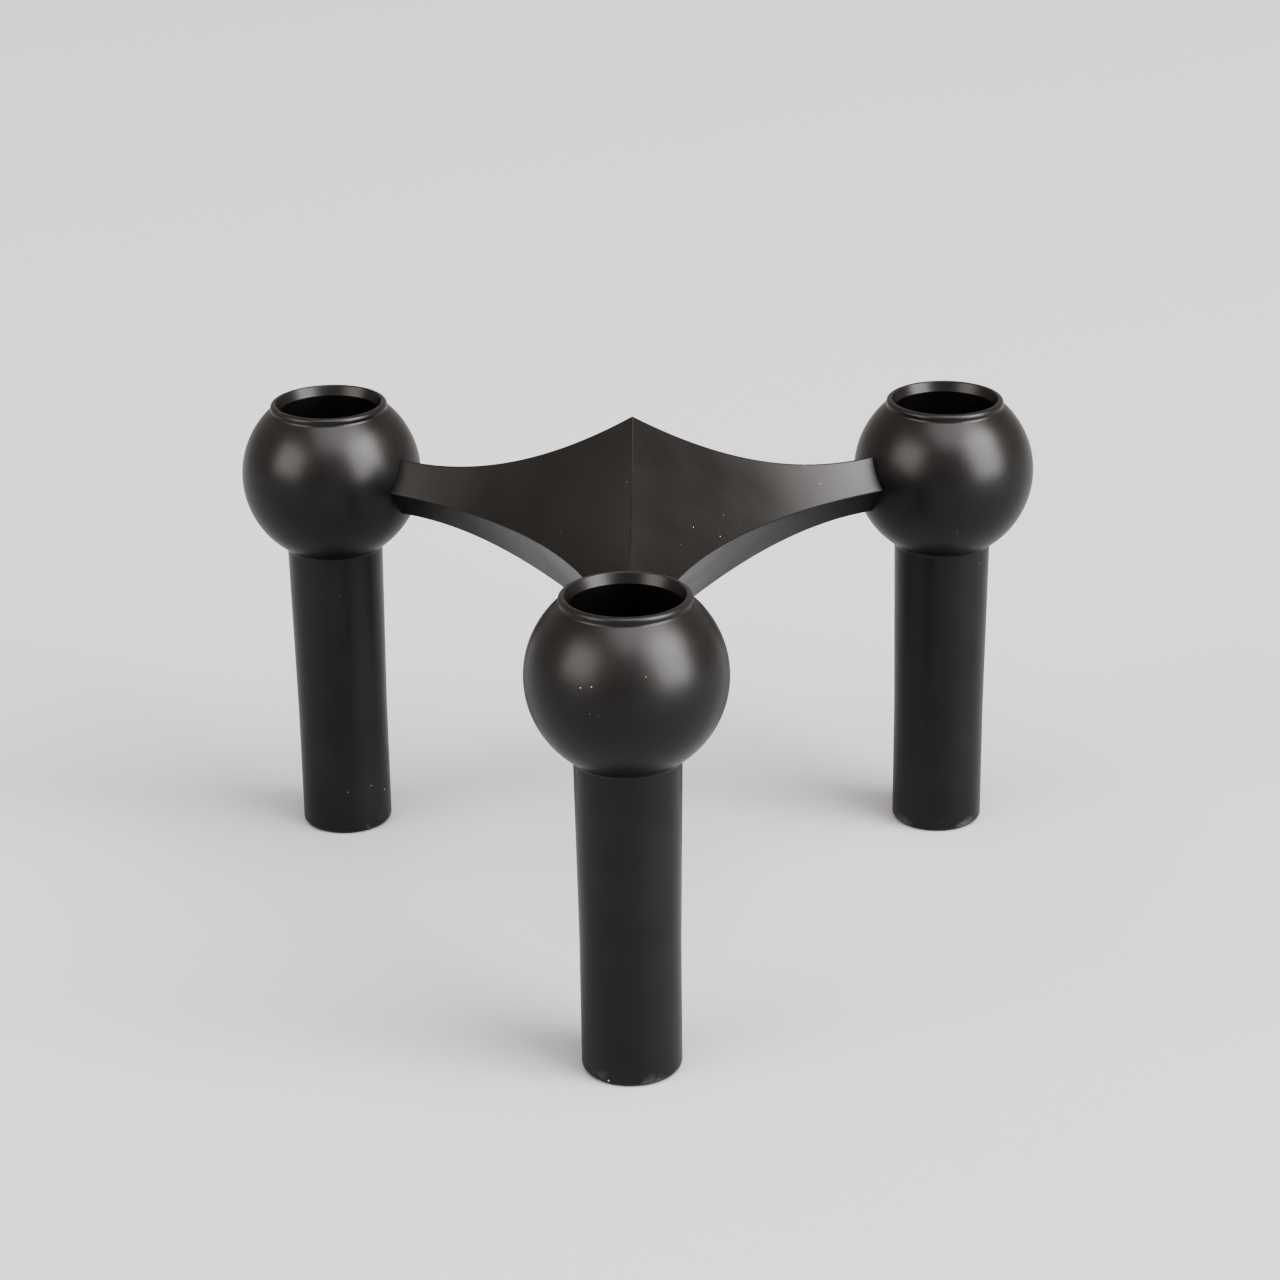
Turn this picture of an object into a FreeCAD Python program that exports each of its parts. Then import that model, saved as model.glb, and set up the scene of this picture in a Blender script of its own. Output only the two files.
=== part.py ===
import FreeCAD, Part
import math
import os
import Sketcher

# A low three-light candle holder that stacks on others of its kind.
# Millimetres, +Z up. The origin is where the star's vertical axis meets the table.
# The front leg stands towards -Y, the others at 30 and 150 degrees from +X.

SIZES = {
    # leg circle and arms
    "leg_circle_radius": (45.7, "star axis to the axis of each leg"),
    "star_half_height": (15.15, "mid-plane to the top or bottom point"),
    "star_waist": (11.8, "star axis to the middle of each concave edge"),
    "star_edge_radius": (54.4, "plan radius of each concave edge"),
    "star_blank_radius": (40.0, "casting blank; ends inside the balls"),
    "star_blank_margin": (1.0, "blank above and below the points"),
    "star_edge_rounding": (0.2, "broken ridge and edge corners"),
    # balls with their candle sockets
    "ball_radius": (11.55, "outside of each ball"),
    "ball_height": (49.0, "table to the ball's centre and the star's mid-plane"),
    "rim_height": (58.7, "table to the top of the rim"),
    "rim_radius": (7.5, "outside of the raised rim"),
    "rim_rounding": (0.5, "outer top corner of the rim"),
    "rim_cove": (0.3, "fillet where the rim rises from the ball"),
    "mouth_radius": (6.8, "wide end of the socket's bevel"),
    "mouth_rounding": (0.12, "inner top corner of the rim"),
    "mouth_bevel": (1.2, "depth of the bevel"),
    "socket_radius": (6.3, "takes a 12.5 mm candle or another holder's leg"),
    "socket_depth": (15.0, "rim to socket floor"),
    "neck_radius": (6.17, "short neck under the ball"),
    "neck_cove": (0.6, "fillet where the neck leaves the ball"),
    # legs
    "leg_length": (38.4, "table to the joint with the ball's neck"),
    "leg_radius": (5.87, "straight lower part"),
    "leg_straight": (16.0, "height of the straight part"),
    "foot_rounding": (0.75, "bottom edge of each leg"),
    "spigot_radius": (4.0, "locates the leg in the ball"),
    "spigot_length": (1.5, "above the joint with the neck"),
    "spigot_gap": (0.1, "recess depth beyond the spigot"),
    "spigot_clearance": (0.05, "radial, round the spigot"),
    # M3 low-head screws, ball to arm
    "arm_screw_radius": (1.5, "M3"),
    "arm_screw_pitch": (0.5, "coarse thread"),
    "arm_screw_length": (8.0, "under the head"),
    "arm_screw_head_radius": (2.75, "low cylindrical head"),
    "arm_screw_head_height": (2.0, "seat to the top of the head"),
    "arm_screw_key": (2.0, "hexagon across flats"),
    "arm_screw_key_depth": (1.1, "from the top of the head"),
    "arm_hole_radius": (1.6, "clearance hole in the ball's wall"),
    "arm_recess_radius": (3.0, "counterbore for the head"),
    "arm_recess_depth": (2.3, "from the socket wall"),
    "arm_tapping_depth": (6.5, "into the end of the arm"),
    # M4 countersunk screws, ball to leg
    "leg_screw_radius": (2.0, "M4"),
    "leg_screw_pitch": (0.7, "coarse thread"),
    "leg_screw_length": (12.0, "overall"),
    "leg_screw_head_radius": (3.75, "flat countersunk head"),
    "leg_screw_rim": (0.1, "straight edge of the head"),
    "leg_screw_key": (2.5, "hexagon across flats"),
    "leg_screw_key_depth": (1.4, "from the top of the head"),
    "leg_hole_radius": (2.2, "clearance hole in the socket floor"),
    "leg_countersink_radius": (3.85, "at the socket floor"),
    "leg_tapping_depth": (9.0, "from the top of the spigot"),
    "corner_break": (0.25, "chamfers on the screws"),
}

# Plan angle of each leg from +X, in degrees.
SIDES = {"front": -90, "right": 30, "left": 150}
ARM_COUNT = len(SIDES)
# The hub is drawn with one arm along its own -X axis, which then turns to the front.
HUB_TURN = 90
COUNTERSINK_ANGLE = 90
# Thread rings, counted from the tip of each screw.
ARM_SCREW_TURNS = 9
LEG_SCREW_TURNS = 11
# Thread depth over pitch, for a metric screw.
THREAD_DEPTH_RATIO = 0.6134
# Two lengths closer than this are the same when edges are picked out.
SAME = 1e-4

document = FreeCAD.newDocument("candelabra")


# ---------------------------------------------------------------- sizes

def make_sheet():
    """Put every driving dimension in a spreadsheet, one alias each."""
    sheet = document.addObject("Spreadsheet::Sheet", "Sizes")
    for row, (alias, (size, note)) in enumerate(SIZES.items(), start=1):
        sheet.set(f"A{row}", alias)
        sheet.set(f"B{row}", str(size))
        sheet.setAlias(f"B{row}", alias)
        sheet.set(f"C{row}", note)
    document.recompute()
    return sheet


sheet = make_sheet()


def size_of(expression):
    """The number that an expression over the sheet stands for."""
    return float(sheet.evalExpression(expression))


def bind(thing, name, expression):
    """Tie one property to the sheet. Aliases in the expression are written plainly."""
    words = sorted(SIZES, key=len, reverse=True)
    for number, word in enumerate(words):
        expression = expression.replace(word, f"@{number}@")
    for number, word in enumerate(words):
        expression = expression.replace(f"@{number}@", f"Sizes.{word}")
    thing.setExpression(name, expression)


# ---------------------------------------------------------------- sketches

def new_body(label):
    body = document.addObject("PartDesign::Body", label)
    body.Label = label
    return body


def new_sketch(body, name, plane, offset=None):
    """A sketch on one of the body's own origin planes, moved along its normal if asked."""
    sketch = body.newObject("Sketcher::SketchObject", name)
    planes = [f for f in body.Origin.OriginFeatures if f.Role == plane]
    sketch.AttachmentSupport = (planes[0], [""])
    sketch.MapMode = "FlatFace"
    if offset:
        bind(sketch, "AttachmentOffset.Base.z", offset)
    return sketch


def pin(sketch, edge, end, across, up):
    """Fix one end of an edge at a place given by two expressions."""
    for kind, axis, expression in (("DistanceX", -2, across), ("DistanceY", -1, up)):
        if expression == "0":
            sketch.addConstraint(Sketcher.Constraint("PointOnObject", edge, end, axis))
        else:
            place = size_of(expression)
            index = sketch.addConstraint(Sketcher.Constraint(kind, -1, 1, edge, end, place))
            bind(sketch, f"Constraints[{index}]", expression)


def draw_outline(sketch, corners):
    """A closed outline of straight edges through corners given as expressions."""
    places = [FreeCAD.Vector(size_of(x), size_of(y), 0) for x, y in corners]
    count = len(corners)
    for index in range(count):
        edge = Part.LineSegment(places[index], places[(index + 1) % count])
        sketch.addGeometry(edge, False)
    for index in range(count):
        following = (index + 1) % count
        sketch.addConstraint(Sketcher.Constraint("Coincident", index, 2, following, 1))
    for index, (x, y) in enumerate(corners):
        pin(sketch, index, 1, x, y)


def draw_circle(sketch, radius):
    """A circle about the sketch's origin."""
    circle = Part.Circle(FreeCAD.Vector(0, 0, 0), FreeCAD.Vector(0, 0, 1), size_of(radius))
    sketch.addGeometry(circle, False)
    sketch.addConstraint(Sketcher.Constraint("Coincident", 0, 3, -1, 1))
    index = sketch.addConstraint(Sketcher.Constraint("Radius", 0, size_of(radius)))
    bind(sketch, f"Constraints[{index}]", radius)


def draw_hexagon(sketch, across_flats):
    """A hexagon about the sketch's origin, for a key socket."""
    corner = f"{across_flats} / 2 / cos(30)"
    steps = [(f"{corner} * cos({60 * i})", f"{corner} * sin({60 * i})") for i in range(6)]
    steps = [(x, "0" if i % 3 == 0 else y) for i, (x, y) in enumerate(steps)]
    draw_outline(sketch, steps)


# ---------------------------------------------------------------- features

def settle(body, feature):
    """Recompute, and stop if the feature failed or left the body empty."""
    document.recompute()
    if "Invalid" in feature.State or "Error" in feature.State:
        raise RuntimeError(f"{body.Label}: {feature.Name} failed")
    if feature.Shape.isNull():
        raise RuntimeError(f"{body.Label}: {feature.Name} is empty")
    return feature


def must_remove(body, feature, before):
    """A cut that points away from the solid removes nothing, so its volume is compared."""
    settle(body, feature)
    if not feature.Shape.Volume < before - SAME:
        raise RuntimeError(f"{body.Label}: {feature.Name} cut nothing")
    return feature


def revolve(body, name, sketch, axis, cut=False):
    """Turn a sketch all the way round an axis, as added or removed material."""
    before = body.Shape.Volume if cut else 0
    kind = "PartDesign::Groove" if cut else "PartDesign::Revolution"
    feature = body.newObject(kind, name)
    feature.Profile = sketch
    feature.ReferenceAxis = (sketch, [axis])
    feature.Angle = 360
    return must_remove(body, feature, before) if cut else settle(body, feature)


def bore(body, name, sketch, radius, depth, cut=None, reverse=False):
    """A round hole down the sketch's normal, with a counterbore or countersink if asked."""
    document.recompute()
    before = body.Shape.Volume
    feature = body.newObject("PartDesign::Hole", name)
    feature.Profile = sketch
    document.recompute()
    feature.ThreadType = "None"
    feature.DepthType = "Dimension"
    feature.DrillPoint = "Flat"
    feature.Reversed = reverse
    bind(feature, "Diameter", f"{radius} * 2")
    bind(feature, "Depth", depth)
    if cut:
        kind, cut_radius, cut_depth = cut
        feature.HoleCutType = kind
        feature.HoleCutCustomValues = True
        bind(feature, "HoleCutDiameter", f"{cut_radius} * 2")
        if kind == "Countersink":
            feature.HoleCutCountersinkAngle = COUNTERSINK_ANGLE
        bind(feature, "HoleCutDepth", cut_depth)
    return must_remove(body, feature, before)


def pocket(body, name, sketch, depth):
    before = body.Shape.Volume
    feature = body.newObject("PartDesign::Pocket", name)
    feature.Profile = sketch
    feature.Type = "Length"
    bind(feature, "Length", depth)
    return must_remove(body, feature, before)


def repeat_round(body, name, features):
    """Repeat features about the body's vertical axis, once for each arm."""
    before = body.Shape.Volume
    pattern = body.newObject("PartDesign::PolarPattern", name)
    pattern.Originals = features
    axes = [f for f in body.Origin.OriginFeatures if f.Role == "Z_Axis"]
    pattern.Axis = (axes[0], [""])
    pattern.Angle = 360
    pattern.Occurrences = ARM_COUNT
    body.Tip = pattern
    return must_remove(body, pattern, before)


def round_edges(body, name, base, edges, radius):
    """Fillet the named edges of the body's newest feature."""
    if not edges:
        raise RuntimeError(f"{body.Label}: no edges for {name}")
    feature = body.newObject("PartDesign::Fillet", name)
    feature.Base = (base, edges)
    bind(feature, "Radius", radius)
    return settle(body, feature)


def ring_edges(shape, radius, height):
    """Names of the round edges about Z that have this radius and height."""
    names = []
    for number, edge in enumerate(shape.Edges, start=1):
        if not isinstance(edge.Curve, Part.Circle):
            continue
        same_radius = abs(edge.Curve.Radius - size_of(radius)) < SAME
        same_height = abs(edge.Curve.Center.z - size_of(height)) < SAME
        if same_radius and same_height:
            names.append(f"Edge{number}")
    return names


def stand_on_circle(body, angle, height="0"):
    """Place a body on the leg circle, its own +X axis pointing away from the star."""
    body.Placement = FreeCAD.Placement(
        FreeCAD.Vector(0, 0, 0), FreeCAD.Rotation(FreeCAD.Vector(0, 0, 1), angle))
    bind(body, "Placement.Base.x", f"leg_circle_radius * cos({angle})")
    bind(body, "Placement.Base.y", f"leg_circle_radius * sin({angle})")
    bind(body, "Placement.Base.z", height)


# ---------------------------------------------------------------- the star

def make_star_hub():
    """Three arms with sharp ridges above and below.

    Each concave side is a V groove turned about a vertical axis midway between two
    arms. A seat in the end of each arm fits its ball, with a tapped hole behind it.
    """
    body = new_body("star_hub")
    blank = new_sketch(body, "blank_plan", "XY_Plane")
    draw_circle(blank, "star_blank_radius")
    pad = body.newObject("PartDesign::Pad", "blank")
    pad.Profile = blank
    bind(pad, "Length", "(star_half_height + star_blank_margin) * 2")
    pad.Midplane = True
    settle(body, pad)

    axis_x = "star_waist + star_edge_radius"
    blank_top = "star_half_height + star_blank_margin"
    spread = f"{axis_x} + star_edge_radius + star_waist * ({blank_top}) / star_half_height"
    for number in range(ARM_COUNT):
        side = new_sketch(body, f"side_outline_{number}", "XZ_Plane")
        side.AttachmentOffset = FreeCAD.Placement(
            FreeCAD.Vector(0, 0, 0),
            FreeCAD.Rotation(FreeCAD.Vector(0, 1, 0), number * 360 / ARM_COUNT))
        draw_outline(side, [
            (axis_x, f"-({blank_top})"),
            (spread, f"-({blank_top})"),
            (f"{axis_x} + star_edge_radius", "0"),
            (spread, blank_top),
            (axis_x, blank_top),
        ])
        sides = revolve(body, f"concave_side_{number}", side, "Edge5", cut=True)

    inner = size_of("star_blank_radius") - SAME
    ridges = []
    for number, edge in enumerate(sides.Shape.Edges, start=1):
        middle = edge.valueAt((edge.FirstParameter + edge.LastParameter) / 2)
        if math.hypot(middle.x, middle.y) < inner:
            ridges.append(f"Edge{number}")
    round_edges(body, "broken_ridges", sides, ridges, "star_edge_rounding")

    seat = new_sketch(body, "seat_outline", "XZ_Plane")
    centre = FreeCAD.Vector(-size_of("leg_circle_radius"), 0, 0)
    half_turn = Part.ArcOfCircle(
        Part.Circle(centre, FreeCAD.Vector(0, 0, 1), size_of("ball_radius")),
        math.pi / 2, math.pi * 3 / 2)
    seat.addGeometry(half_turn, False)
    seat.addGeometry(Part.LineSegment(half_turn.EndPoint, half_turn.StartPoint), False)
    seat.addConstraint(Sketcher.Constraint("Coincident", 0, 2, 1, 1))
    seat.addConstraint(Sketcher.Constraint("Coincident", 1, 2, 0, 1))
    seat.addConstraint(Sketcher.Constraint("Vertical", 1))
    seat.addConstraint(Sketcher.Constraint("PointOnObject", 0, 3, 1))
    pin(seat, 0, 3, "-leg_circle_radius", "0")
    radius = seat.addConstraint(Sketcher.Constraint("Radius", 0, size_of("ball_radius")))
    bind(seat, f"Constraints[{radius}]", "ball_radius")
    first_seat = revolve(body, "ball_seat", seat, "Edge2", cut=True)

    drill = new_sketch(body, "tapping_place", "YZ_Plane", "-(leg_circle_radius - ball_radius)")
    draw_circle(drill, "arm_screw_radius")
    first_hole = bore(body, "tapped_hole", drill, "arm_screw_radius", "arm_tapping_depth",
                      reverse=True)
    repeat_round(body, "ball_ends", [first_seat, first_hole])

    body.Placement = FreeCAD.Placement(
        FreeCAD.Vector(0, 0, 0), FreeCAD.Rotation(FreeCAD.Vector(0, 0, 1), HUB_TURN))
    bind(body, "Placement.Base.z", "ball_height")
    return body


# ---------------------------------------------------------------- balls

def make_ball_cup(side, angle):
    """A turned ball with a neck below, and a raised rim round its candle socket."""
    body = new_body(f"ball_cup_{side}")
    outline = new_sketch(body, "ball_outline", "XZ_Plane")
    draw_ball_outline(outline)
    revolve(body, "ball", outline, "Edge6")

    socket = new_sketch(body, "socket_outline", "XZ_Plane")
    floor = "rim_height - socket_depth"
    above = "rim_height + mouth_bevel"
    draw_outline(socket, [
        ("0", floor),
        ("socket_radius", floor),
        ("socket_radius", "rim_height - mouth_bevel"),
        ("mouth_radius", "rim_height"),
        ("mouth_radius", above),
        ("0", above),
    ])
    newest = revolve(body, "socket", socket, "Edge6", cut=True)

    collar_foot = "ball_height + sqrt(ball_radius * ball_radius - rim_radius * rim_radius)"
    neck_top = "ball_height - sqrt(ball_radius * ball_radius - neck_radius * neck_radius)"
    for name, ring_radius, height, rounding in (
            ("neck_fillet", "neck_radius", neck_top, "neck_cove"),
            ("rim_fillet", "rim_radius", collar_foot, "rim_cove"),
            ("rim_corner", "rim_radius", "rim_height", "rim_rounding"),
            ("mouth_corner", "mouth_radius", "rim_height", "mouth_rounding")):
        edges = ring_edges(newest.Shape, ring_radius, height)
        newest = round_edges(body, name, newest, edges, rounding)

    recess = new_sketch(body, "recess_plan", "XY_Plane", "leg_length")
    draw_circle(recess, "spigot_radius + spigot_clearance")
    bore(body, "spigot_recess", recess, "(spigot_radius + spigot_clearance)",
         "spigot_length + spigot_gap", reverse=True)

    sink = new_sketch(body, "leg_screw_place", "XY_Plane", floor)
    draw_circle(sink, "leg_hole_radius")
    bore(body, "leg_screw_hole", sink, "leg_hole_radius", f"{floor} - leg_length",
         cut=("Countersink", "leg_countersink_radius",
              "leg_countersink_radius - leg_hole_radius"))

    wall = new_sketch(body, "arm_screw_place", "YZ_Plane", "-socket_radius")
    bind(wall, "AttachmentOffset.Base.y", "ball_height")
    draw_circle(wall, "arm_hole_radius")
    bore(body, "arm_screw_hole", wall, "arm_hole_radius", "ball_radius",
         cut=("Counterbore", "arm_recess_radius", "arm_recess_depth"))
    stand_on_circle(body, angle)
    return body


def draw_ball_outline(sketch):
    """Neck, ball and rim in one outline, closed along the axis."""
    neck = size_of("neck_radius")
    rim = size_of("rim_radius")
    ball = size_of("ball_radius")
    middle = size_of("ball_height")
    base = size_of("leg_length")
    top = size_of("rim_height")
    low = FreeCAD.Vector(neck, middle - math.sqrt(ball ** 2 - neck ** 2), 0)
    high = FreeCAD.Vector(rim, middle + math.sqrt(ball ** 2 - rim ** 2), 0)
    side = FreeCAD.Vector(ball, middle, 0)
    corners = [
        FreeCAD.Vector(0, base, 0),
        FreeCAD.Vector(neck, base, 0),
        FreeCAD.Vector(rim, top, 0),
        FreeCAD.Vector(0, top, 0),
    ]
    edges = [
        Part.LineSegment(corners[0], corners[1]),
        Part.LineSegment(corners[1], low),
        Part.Arc(low, side, high),
        Part.LineSegment(high, corners[2]),
        Part.LineSegment(corners[2], corners[3]),
        Part.LineSegment(corners[3], corners[0]),
    ]
    for edge in edges:
        sketch.addGeometry(edge, False)
    for index in range(len(edges)):
        following = (index + 1) % len(edges)
        sketch.addConstraint(Sketcher.Constraint("Coincident", index, 2, following, 1))
    for upright in (1, 3):
        sketch.addConstraint(Sketcher.Constraint("Vertical", upright))
    pin(sketch, 0, 1, "0", "leg_length")
    pin(sketch, 1, 1, "neck_radius", "leg_length")
    pin(sketch, 4, 1, "rim_radius", "rim_height")
    pin(sketch, 5, 1, "0", "rim_height")
    pin(sketch, 2, 3, "0", "ball_height")
    index = sketch.addConstraint(Sketcher.Constraint("Radius", 2, ball))
    bind(sketch, f"Constraints[{index}]", "ball_radius")


# ---------------------------------------------------------------- legs

def make_leg(side, angle):
    """A solid turned leg: straight below, slightly wider at the top, with a spigot."""
    body = new_body(f"leg_{side}")
    outline = new_sketch(body, "leg_outline", "XZ_Plane")
    spigot_top = "leg_length + spigot_length"
    draw_outline(outline, [
        ("0", "0"),
        ("leg_radius", "0"),
        ("leg_radius", "leg_straight"),
        ("neck_radius", "leg_length"),
        ("spigot_radius", "leg_length"),
        ("spigot_radius", spigot_top),
        ("0", spigot_top),
    ])
    turned = revolve(body, "leg", outline, "Edge7")
    foot = ring_edges(turned.Shape, "leg_radius", "0")
    round_edges(body, "foot_corner", turned, foot, "foot_rounding")
    tapping = new_sketch(body, "tapping_place", "XY_Plane", spigot_top)
    draw_circle(tapping, "leg_screw_radius")
    bore(body, "tapped_hole", tapping, "leg_screw_radius", "leg_tapping_depth")
    stand_on_circle(body, angle)
    return body


# ---------------------------------------------------------------- screws

def thread_rings(radius, pitch, start, turns):
    """Outline corners of a thread drawn as rings, upwards from a starting height."""
    root = f"{radius} - {pitch} * {THREAD_DEPTH_RATIO}"
    corners = [(radius, start)]
    for turn in range(turns):
        corners.append((root, f"{start} + {pitch} * {turn + 0.5}"))
        corners.append((radius, f"{start} + {pitch} * {turn + 1}"))
    return corners


def make_arm_screw(side, angle):
    """Low-head cap screw, from inside the socket through the ball's wall into the arm."""
    body = new_body(f"arm_screw_{side}")
    outline = new_sketch(body, "screw_outline", "XZ_Plane")
    tip = "-arm_screw_length"
    head = "arm_screw_head_height"
    draw_outline(outline, [
        ("0", tip),
        ("arm_screw_radius - corner_break", tip),
        *thread_rings("arm_screw_radius", "arm_screw_pitch", f"{tip} + corner_break",
                      ARM_SCREW_TURNS),
        ("arm_screw_radius", "0"),
        ("arm_screw_head_radius", "0"),
        ("arm_screw_head_radius", f"{head} - corner_break"),
        ("arm_screw_head_radius - corner_break", head),
        ("0", head),
    ])
    revolve(body, "screw", outline, f"Edge{outline.GeometryCount}")
    key = new_sketch(body, "key_plan", "XY_Plane", head)
    draw_hexagon(key, "arm_screw_key")
    pocket(body, "key_socket", key, "arm_screw_key_depth")

    # The head looks away from the star, and its seat is the floor of the counterbore.
    turn = FreeCAD.Rotation(FreeCAD.Vector(0, 0, 1), angle)
    tilt = FreeCAD.Rotation(FreeCAD.Vector(0, 1, 0), 90)
    body.Placement = FreeCAD.Placement(FreeCAD.Vector(0, 0, 0), turn.multiply(tilt))
    reach = "(leg_circle_radius - socket_radius - arm_recess_depth)"
    bind(body, "Placement.Base.x", f"{reach} * cos({angle})")
    bind(body, "Placement.Base.y", f"{reach} * sin({angle})")
    bind(body, "Placement.Base.z", "ball_height")
    return body


def make_leg_screw(side, angle):
    """Countersunk screw, down through the socket's floor into the leg."""
    body = new_body(f"leg_screw_{side}")
    outline = new_sketch(body, "screw_outline", "XZ_Plane")
    tip = "-leg_screw_length"
    cone = "leg_screw_rim + leg_screw_head_radius - leg_screw_radius"
    draw_outline(outline, [
        ("0", tip),
        ("leg_screw_radius - corner_break", tip),
        *thread_rings("leg_screw_radius", "leg_screw_pitch", f"{tip} + corner_break",
                      LEG_SCREW_TURNS),
        ("leg_screw_radius", f"-({cone})"),
        ("leg_screw_head_radius", "-leg_screw_rim"),
        ("leg_screw_head_radius", "0"),
        ("0", "0"),
    ])
    revolve(body, "screw", outline, f"Edge{outline.GeometryCount}")
    key = new_sketch(body, "key_plan", "XY_Plane")
    draw_hexagon(key, "leg_screw_key")
    pocket(body, "key_socket", key, "leg_screw_key_depth")
    stand_on_circle(body, angle, "rim_height - socket_depth")
    return body


# ---------------------------------------------------------------- the whole

def build():
    """Make every sub-part, the hub first and then the set for each leg."""
    parts = [make_star_hub()]
    for side, angle in SIDES.items():
        parts.append(make_ball_cup(side, angle))
        parts.append(make_leg(side, angle))
        parts.append(make_arm_screw(side, angle))
        parts.append(make_leg_screw(side, angle))
    return parts


def check(parts):
    """Stop if any object failed, or any sub-part isn't one valid solid."""
    document.recompute()
    for thing in document.Objects:
        if "Invalid" in thing.State or "Error" in thing.State:
            raise RuntimeError(f"{thing.Label} failed")
    for part in parts:
        if part.Shape.isNull() or not part.Shape.isValid():
            raise RuntimeError(f"{part.Label} has no valid shape")
        if len(part.Shape.Solids) != 1:
            raise RuntimeError(f"{part.Label} has {len(part.Shape.Solids)} solids")


def write(parts):
    os.makedirs("parts", exist_ok=True)
    for part in parts:
        part.Shape.exportStep(f"parts/{part.Label}.step")
        box = part.Shape.BoundBox
        print(f"{part.Label}: {part.Shape.Volume:.1f} mm3, "
              f"{box.XLength:.2f} x {box.YLength:.2f} x {box.ZLength:.2f} mm")


parts = build()
check(parts)
write(parts)
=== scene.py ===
from math import cos, pi, radians, sin

import bmesh
import bpy
from mathutils import Matrix, Vector


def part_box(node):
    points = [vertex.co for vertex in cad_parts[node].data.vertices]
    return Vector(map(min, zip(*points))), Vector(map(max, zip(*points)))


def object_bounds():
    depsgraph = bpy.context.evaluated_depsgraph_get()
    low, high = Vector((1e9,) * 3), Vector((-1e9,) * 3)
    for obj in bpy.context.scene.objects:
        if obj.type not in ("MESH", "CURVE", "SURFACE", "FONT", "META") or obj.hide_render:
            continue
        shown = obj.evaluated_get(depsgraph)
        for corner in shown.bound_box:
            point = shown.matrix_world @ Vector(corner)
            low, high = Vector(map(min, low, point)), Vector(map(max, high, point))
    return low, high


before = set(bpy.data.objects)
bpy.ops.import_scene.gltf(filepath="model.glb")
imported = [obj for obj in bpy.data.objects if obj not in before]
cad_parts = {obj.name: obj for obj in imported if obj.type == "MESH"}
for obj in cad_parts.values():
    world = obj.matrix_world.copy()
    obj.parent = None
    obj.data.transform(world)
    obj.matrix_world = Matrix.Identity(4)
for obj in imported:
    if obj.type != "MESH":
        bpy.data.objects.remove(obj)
bpy.context.view_layer.update()
cad_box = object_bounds()

# A low candle holder in satin black paint, on a plain pale floor under soft studio lights.
# Lengths are in metres, written in millimetres where that reads better.
MM = 0.001

# Camera: where it stands, and how it is turned. Down is below the horizon.
CAMERA_PLACE = Vector((9.2, -405.0, 199.0)) * MM
CAMERA_YAW = radians(-1.22)
CAMERA_DOWN = radians(22.08)
CAMERA_ROLL = radians(0.75)
CAMERA_LENS = 98.45
CAMERA_SENSOR = 36.0
CAMERA_NEAR = 10 * MM

# Softboxes: azimuth from +X towards +Y and elevation above the table, in degrees.
# Shine is the radiance of the box's face.
SOFTBOX_DISTANCE = 3.3
SOFTBOXES = {
    "key_softbox": dict(azimuth=-31, elevation=27, width=2.4, height=3.0, shine=8.3,
                        colour=(1.0, 0.985, 0.97)),
    "side_softbox": dict(azimuth=-11, elevation=48, width=1.3, height=1.9, shine=4.6,
                         colour=(1.0, 0.985, 0.97)),
    "fill_softbox": dict(azimuth=-147, elevation=26, width=2.3, height=2.1, shine=4.8,
                         colour=(1.0, 0.96, 0.92)),
    "high_softbox": dict(azimuth=-66, elevation=70, width=3.0, height=2.7, shine=3.7,
                         colour=(1.0, 0.99, 0.98)),
}
SKY_COLOUR = (0.68, 0.605, 0.58)

FLOOR_HALF = 4.0
FLOOR_TILES = 24
FLOOR_GREY = (0.384, 0.399, 0.409)
FLOOR_SHADE = 0.985
FLOOR_CLOUD = 150 * MM
FLOOR_ROUGHNESS = 0.75
FLOOR_SPECULAR = 0.2

# Satin paint.
PAINT_SPECULAR = 0.46
PAINT_DARK = (0.0034, 0.0032, 0.0031)
PAINT_LIGHT = (0.0062, 0.0058, 0.0056)
PAINT_ROUGHNESS = (0.34, 0.39)
PAINT_GRAIN = 0.22 * MM
PAINT_GRAIN_DEPTH = 0.0035 * MM
PAINT_FLOW = 1.6 * MM
PAINT_FLOW_DEPTH = 0.004 * MM
PAINT_DRIFT = 9 * MM
PAINT_GRAIN_GLOSS = 0.03

# Stray dust: one speck in each cell of the dusty patches, larger on the feet.
DUST_CELL = 1.2 * MM
DUST_RADIUS = 0.065 * MM
DUST_FOOT_RADIUS = 0.12 * MM
DUST_FOOT_HEIGHT = 9 * MM
DUST_GREY = (0.42, 0.41, 0.39)

# Rubbed paint along the bottom edge of each foot: full up to RUB_FULL, gone at RUB_HEIGHT.
RUB_HEIGHT = 1.8 * MM
RUB_FULL = 0.3 * RUB_HEIGHT
RUB_PATCH = 3.7 * MM
RUB_GREY = (0.075, 0.073, 0.07)
RUB_THINNEST = 0.3

# Roughness added where the paint is dusty or rubbed.
WORN_ROUGHNESS = 0.3

# Turned steel of the screws, darkened with painted shade from just below the top of the head
# downwards, so the recess reads dark.
STEEL_DARK = (0.22, 0.215, 0.205)
STEEL_LIGHT = (0.34, 0.335, 0.32)
STEEL_ROUGHNESS = (0.26, 0.42)
STEEL_CLOUD = 1.2 * MM
STEEL_RING = 0.2 * MM
STEEL_RING_DEPTH = 0.002 * MM
# Painted shade: near-black steel from just below the top of the head, standing in for the shade
# in the recess.
RECESS_PAINTED_SHADE = (0.03, 0.028, 0.026)
RECESS_SHADE_START = 0.15 * MM
RECESS_SHADE_END = 0.9 * MM

# Spans of a noise's value over which each effect comes in.
DRIFT_SPAN = (0.35, 0.65)
DUST_SPAN = (0.54, 0.62)
RUB_SPAN = (0.54, 0.62)
RUB_GRAIN_SPAN = (0.4, 0.6)
GLOSS_SPAN = (0.3, 0.7)


def new_object(name, data):
    made = bpy.data.objects.new(name, data)
    bpy.context.scene.collection.objects.link(made)
    return made


# ---------------------------------------------------------------- camera and lights

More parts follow.
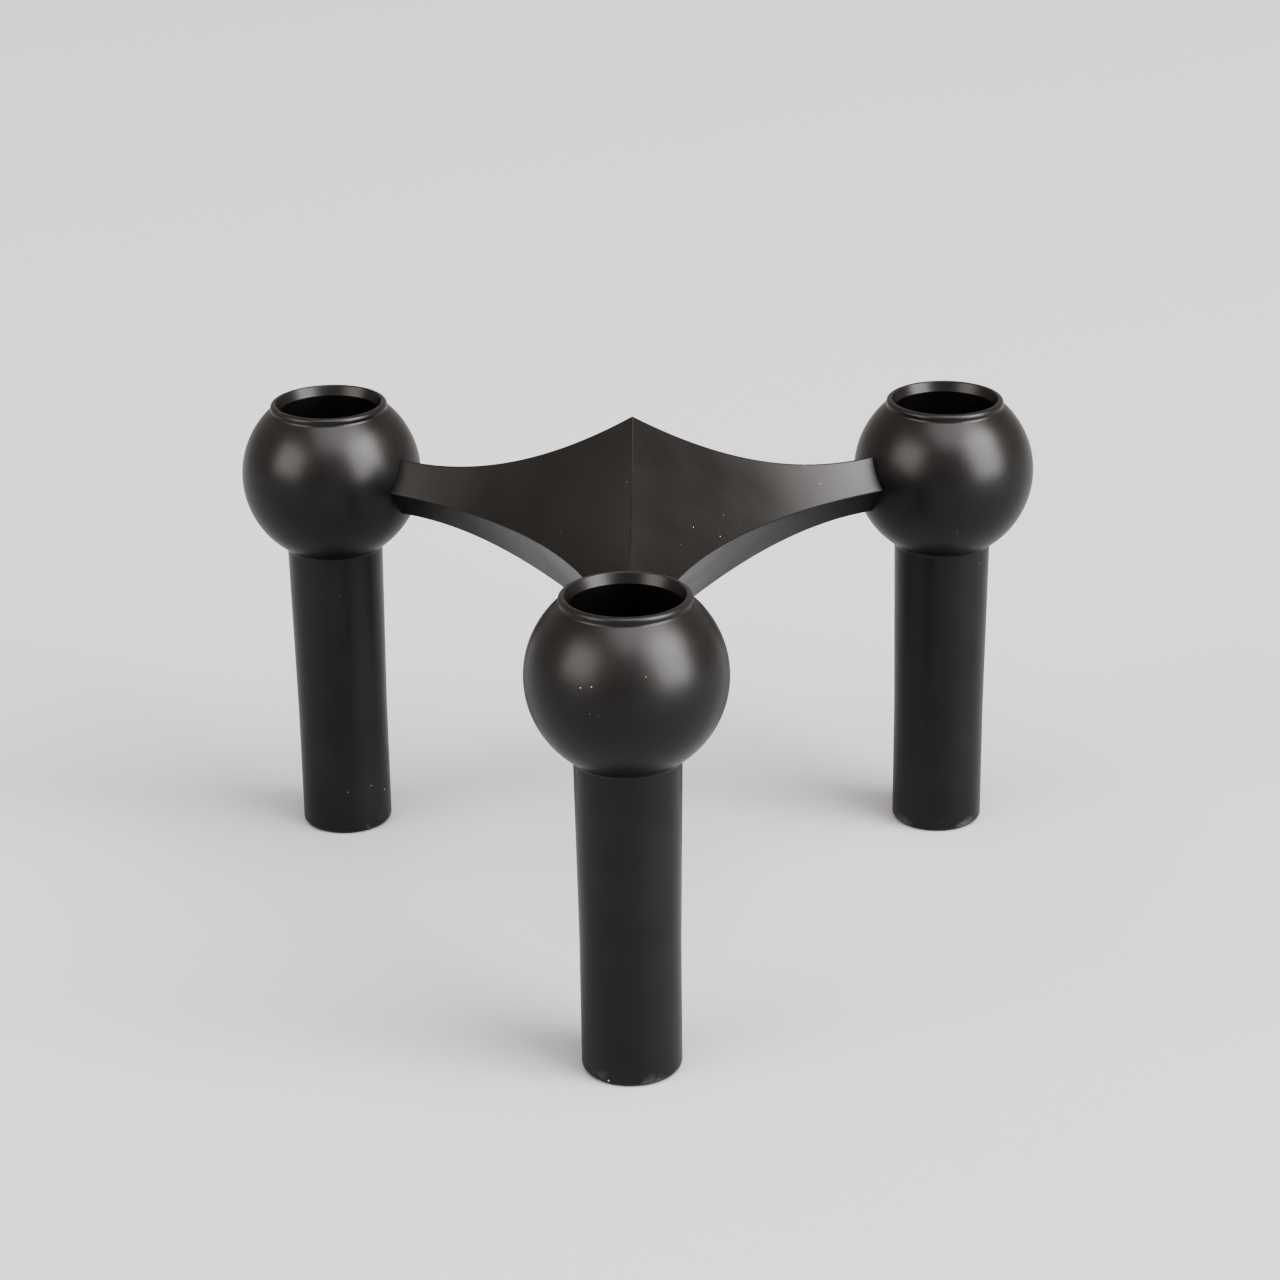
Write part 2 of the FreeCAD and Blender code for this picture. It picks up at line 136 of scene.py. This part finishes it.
def make_camera():
    """Turned by its yaw, then down, then rolled about its own axis."""
    camera = new_object("camera", bpy.data.cameras.new("camera"))
    camera.data.lens = CAMERA_LENS
    camera.data.sensor_width = CAMERA_SENSOR
    camera.data.clip_start = CAMERA_NEAR
    camera.matrix_world = (
        Matrix.Translation(CAMERA_PLACE)
        @ Matrix.Rotation(-CAMERA_YAW, 4, "Z")
        @ Matrix.Rotation(pi / 2 - CAMERA_DOWN, 4, "X")
        @ Matrix.Rotation(-CAMERA_ROLL, 4, "Z")
    )
    bpy.context.scene.camera = camera


def make_softbox(name, azimuth, elevation, width, height, shine, colour):
    """A rectangular light that faces the middle of the object."""
    lamp = bpy.data.lights.new(name, "AREA")
    lamp.shape = "RECTANGLE"
    lamp.size = width
    lamp.size_y = height
    lamp.energy = shine * width * height * pi
    lamp.color = colour
    turn, rise = radians(azimuth), radians(elevation)
    way = Vector((cos(turn) * cos(rise), sin(turn) * cos(rise), sin(rise)))
    made = new_object(name, lamp)
    made.location = (cad_box[0] + cad_box[1]) / 2 + way * SOFTBOX_DISTANCE
    made.rotation_mode = "QUATERNION"
    made.rotation_quaternion = way.to_track_quat("Z", "Y")


def make_sky():
    """An even, slightly warm room round the scene, and the tone curve of a photograph."""
    world = bpy.data.worlds.new("studio")
    world.use_nodes = True
    world.node_tree.nodes["Background"].inputs["Color"].default_value = (*SKY_COLOUR, 1)
    scene = bpy.context.scene
    scene.world = world
    scene.view_settings.view_transform = "AgX"
    scene.view_settings.look = "AgX - High Contrast"


# ---------------------------------------------------------------- node materials

class Nodes:
    """A node material under construction. Sources are sockets or plain numbers."""

    def __init__(self, name):
        self.material = bpy.data.materials.new(name)
        self.material.use_nodes = True
        self.tree = self.material.node_tree
        self.shader = self.tree.nodes["Principled BSDF"]
        self.place = self.tree.nodes.new("ShaderNodeTexCoord").outputs["Object"]

    def feed(self, socket, source):
        if isinstance(source, bpy.types.NodeSocket):
            self.tree.links.new(source, socket)
        elif isinstance(source, tuple) and len(source) < len(socket.default_value):
            socket.default_value = (*source, 1)
        else:
            socket.default_value = source

    def add(self, kind, sources, **settings):
        node = self.tree.nodes.new(kind)
        for name, value in settings.items():
            setattr(node, name, value)
        for name, source in sources.items():
            self.feed(node.inputs[name], source)
        return node

    def noise(self, size, detail=2):
        """Noise from 0 to 1 whose features are about size across."""
        sources = {"Vector": self.place, "Scale": 1 / size, "Detail": detail}
        return self.add("ShaderNodeTexNoise", sources).outputs["Fac"]

    def maths(self, operation, first, second):
        node = self.add("ShaderNodeMath", {0: first, 1: second}, operation=operation)
        return node.outputs[0]

    def vectors(self, operation, first, second):
        return self.add("ShaderNodeVectorMath", {0: first, 1: second}, operation=operation)

    def ramp(self, source, start, end, low, high):
        """The source's range from start to end, stretched over low to high and clamped."""
        sources = {"Value": source, "From Min": start, "From Max": end,
                   "To Min": low, "To Max": high}
        return self.add("ShaderNodeMapRange", sources).outputs["Result"]

    def mix(self, factor, first, second):
        sources = {0: factor, 6: first, 7: second}
        return self.add("ShaderNodeMix", sources, data_type="RGBA").outputs[2]

    def bump(self, height, depth, under=None):
        sources = {"Height": height, "Distance": depth, "Strength": 1.0}
        if under:
            sources["Normal"] = under
        return self.add("ShaderNodeBump", sources).outputs["Normal"]

    def finish(self, **sources):
        for name, source in sources.items():
            self.feed(self.shader.inputs[name.replace("_", " ")], source)
        return self.material


def make_paint():
    """Satin black paint: fine grain, a slow drift of gloss, stray dust and rubbed feet."""
    n = Nodes("satin_black_paint")
    grain = n.noise(PAINT_GRAIN, 3)
    flow = n.noise(PAINT_FLOW, 2)
    drift = n.noise(PAINT_DRIFT, 3)
    height = n.add("ShaderNodeSeparateXYZ", {"Vector": n.place}).outputs["Z"]

    speck = n.add("ShaderNodeTexVoronoi", {"Vector": n.place, "Scale": 1 / DUST_CELL})
    reach = n.ramp(height, 0.0, DUST_FOOT_HEIGHT,
                   DUST_FOOT_RADIUS / DUST_CELL, DUST_RADIUS / DUST_CELL)
    reach = n.maths("MULTIPLY", reach, n.ramp(drift, *DUST_SPAN, 0.0, 1.0))
    dust = n.maths("LESS_THAN", speck.outputs["Distance"], reach)

    edge = n.ramp(height, RUB_FULL, RUB_HEIGHT, 1.0, 0.0)
    patch = n.ramp(n.noise(RUB_PATCH, 4), *RUB_SPAN, 0.0, 1.0)
    scratches = n.ramp(grain, *RUB_GRAIN_SPAN, RUB_THINNEST, 1.0)
    rub = n.maths("MULTIPLY", edge, n.maths("MULTIPLY", patch, scratches))

    black = n.mix(n.ramp(drift, *DRIFT_SPAN, 0.0, 1.0), PAINT_DARK, PAINT_LIGHT)
    colour = n.mix(dust, n.mix(rub, black, RUB_GREY), DUST_GREY)
    gloss = n.ramp(drift, *DRIFT_SPAN, *PAINT_ROUGHNESS)
    uneven = n.ramp(grain, *GLOSS_SPAN, -PAINT_GRAIN_GLOSS, PAINT_GRAIN_GLOSS)
    worn = n.maths("MULTIPLY", n.maths("MAXIMUM", dust, rub), WORN_ROUGHNESS)
    rough = n.maths("ADD", n.maths("ADD", gloss, uneven), worn)
    n.shader.inputs["Specular IOR Level"].default_value = PAINT_SPECULAR
    surface = n.bump(flow, PAINT_FLOW_DEPTH)
    surface = n.bump(grain, PAINT_GRAIN_DEPTH, surface)
    return n.finish(Base_Color=colour, Roughness=rough, Normal=surface)


def make_steel(name):
    """Turned steel: fine rings round the screw's own axis, uneven gloss and painted shade below
    the top of the head, which darkens the recess.
    """
    n = Nodes(f"turned_steel_{name}")
    axis, middle, top = screw_line(name)
    arm = n.vectors("SUBTRACT", n.place, tuple(middle)).outputs["Vector"]
    along = n.vectors("PROJECT", arm, tuple(axis)).outputs["Vector"]
    out = n.vectors("DISTANCE", arm, along).outputs["Value"]
    rings = n.maths("SINE", n.maths("MULTIPLY", out, 2 * pi / STEEL_RING), 0.0)
    reached = n.vectors("DOT_PRODUCT", n.place, tuple(axis)).outputs["Value"]
    below = n.maths("SUBTRACT", top, reached)
    cloud = n.noise(STEEL_CLOUD, 3)
    colour = n.mix(cloud, STEEL_DARK, STEEL_LIGHT)
    # Painted shade: the steel darkens from just below the top of the head, where the recess is.
    colour = n.mix(n.ramp(below, RECESS_SHADE_START, RECESS_SHADE_END, 0.0, 1.0), colour, RECESS_PAINTED_SHADE)
    rough = n.ramp(cloud, *GLOSS_SPAN, *STEEL_ROUGHNESS)
    n.shader.inputs["Metallic"].default_value = 1.0
    return n.finish(Base_Color=colour, Roughness=rough, Normal=n.bump(rings, STEEL_RING_DEPTH))


def make_floor():
    """A wide plain floor, which isn't part of the object."""
    mesh = bpy.data.meshes.new("floor")
    shape = bmesh.new()
    bmesh.ops.create_grid(shape, x_segments=FLOOR_TILES, y_segments=FLOOR_TILES, size=FLOOR_HALF)
    shape.to_mesh(mesh)
    shape.free()
    n = Nodes("matt_floor")
    shaded = tuple(FLOOR_SHADE * part for part in FLOOR_GREY)
    tone = n.mix(n.noise(FLOOR_CLOUD), shaded, FLOOR_GREY)
    n.shader.inputs["Specular IOR Level"].default_value = FLOOR_SPECULAR
    mesh.materials.append(n.finish(Base_Color=tone, Roughness=FLOOR_ROUGHNESS))
    new_object("floor", mesh)


# ---------------------------------------------------------------- the object

def dress_nodes():
    """Give each CAD node the look that its material slot in the record asks for."""
    paint = make_paint()
    for name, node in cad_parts.items():
        for place in node.material_slots:
            if place.material.name == "screw_steel":
                place.material = make_steel(name)
            else:
                place.material = paint


def screw_line(name):
    """A screw's axis towards its head, its middle, and how far along the axis the head ends.

    A leg's screw is upright. An arm's screw points out from the star's axis, and the front
    one, which lies along -Y, tells where all three heads end.
    """
    low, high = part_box(name)
    middle = (Vector(low) + Vector(high)) / 2
    if name.startswith("leg_"):
        return Vector((0, 0, 1)), middle, high[2]
    heads_end = -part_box("arm_screw_front")[0][1]
    return Vector((middle.x, middle.y, 0)).normalized(), middle, heads_end


make_camera()
make_sky()
for box_name, box in SOFTBOXES.items():
    make_softbox(box_name, **box)
make_floor()
dress_nodes()
